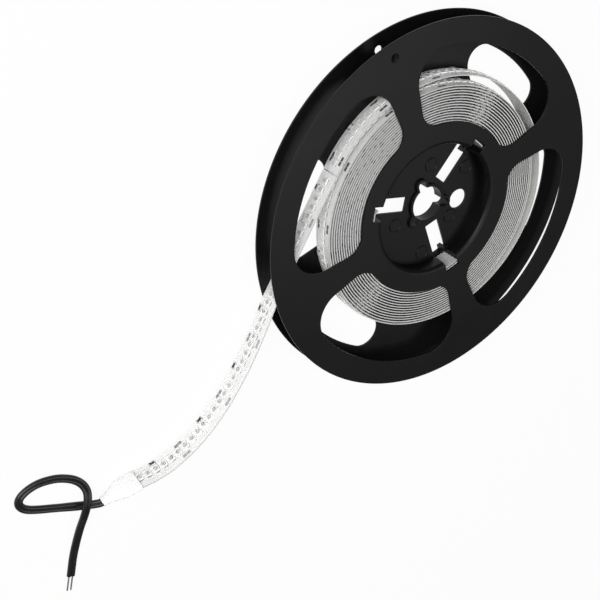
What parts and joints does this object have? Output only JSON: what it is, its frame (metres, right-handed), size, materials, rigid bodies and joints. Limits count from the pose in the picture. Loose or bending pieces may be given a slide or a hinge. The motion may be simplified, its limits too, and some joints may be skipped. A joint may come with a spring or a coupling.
{
  "type": "led strip light reel",
  "caption": "Flat plastic reel with open windows and a keyed arbor bore, wound with flexible LED strip whose free end carries a sleeved two-core lead.",
  "frame": {"origin": "on the reel's axis, at the outer face of the rear flange, on which the reel lies", "axes": "+Z along the axis from the rear flange to the front flange; +X along the narrow spoke of the rear flange, towards the side where the strip leaves the rim"},
  "size_m": [0.3157, 0.178, 0.0126],
  "materials": {
    "reel_plastic": "moulded black plastic, satin, with faint flow marks",
    "strip_white": "white solder mask on a flexible circuit, with tinned pads",
    "led_package": "white moulded package with a pale resin window",
    "resistor_body": "black glazed chip with bright end caps",
    "sleeve_white": "shrunk white sleeve, smooth and soft",
    "lead_jacket": "smooth dark grey cable jacket",
    "tinned_copper": "dull tinned strands and solder"
  },
  "bodies": {
    "root": {"rear_reel_half": "reel_plastic", "front_reel_half": "reel_plastic", "strip_roll": "strip_white", "strip_tail": "strip_white", "led_01": "led_package", "led_02": "led_package", "led_03": "led_package", "led_04": "led_package", "led_05": "led_package", "led_06": "led_package", "led_07": "led_package", "led_08": "led_package", "led_09": "led_package", "led_10": "led_package", "led_11": "led_package", "led_12": "led_package", "led_13": "led_package", "led_14": "led_package", "led_15": "led_package", "led_16": "led_package", "led_17": "led_package", "led_18": "led_package", "led_19": "led_package", "led_20": "led_package", "led_21": "led_package", "led_22": "led_package", "led_23": "led_package", "led_24": "led_package", "led_25": "led_package", "led_26": "led_package", "led_27": "led_package", "led_28": "led_package", "led_29": "led_package", "led_30": "led_package", "led_31": "led_package", "led_32": "led_package", "led_33": "led_package", "led_34": "led_package", "led_35": "led_package", "led_36": "led_package", "led_37": "led_package", "led_38": "led_package", "led_39": "led_package", "led_40": "led_package", "resistor_1": "resistor_body", "resistor_2": "resistor_body", "resistor_3": "resistor_body", "resistor_4": "resistor_body", "resistor_5": "resistor_body", "resistor_6": "resistor_body", "shrink_sleeve": "sleeve_white", "lead_cable": "lead_jacket", "bare_wire_1": "tinned_copper", "bare_wire_2": "tinned_copper", "solder_joint_1": "tinned_copper", "solder_joint_2": "tinned_copper"}
  },
  "joints": []
}
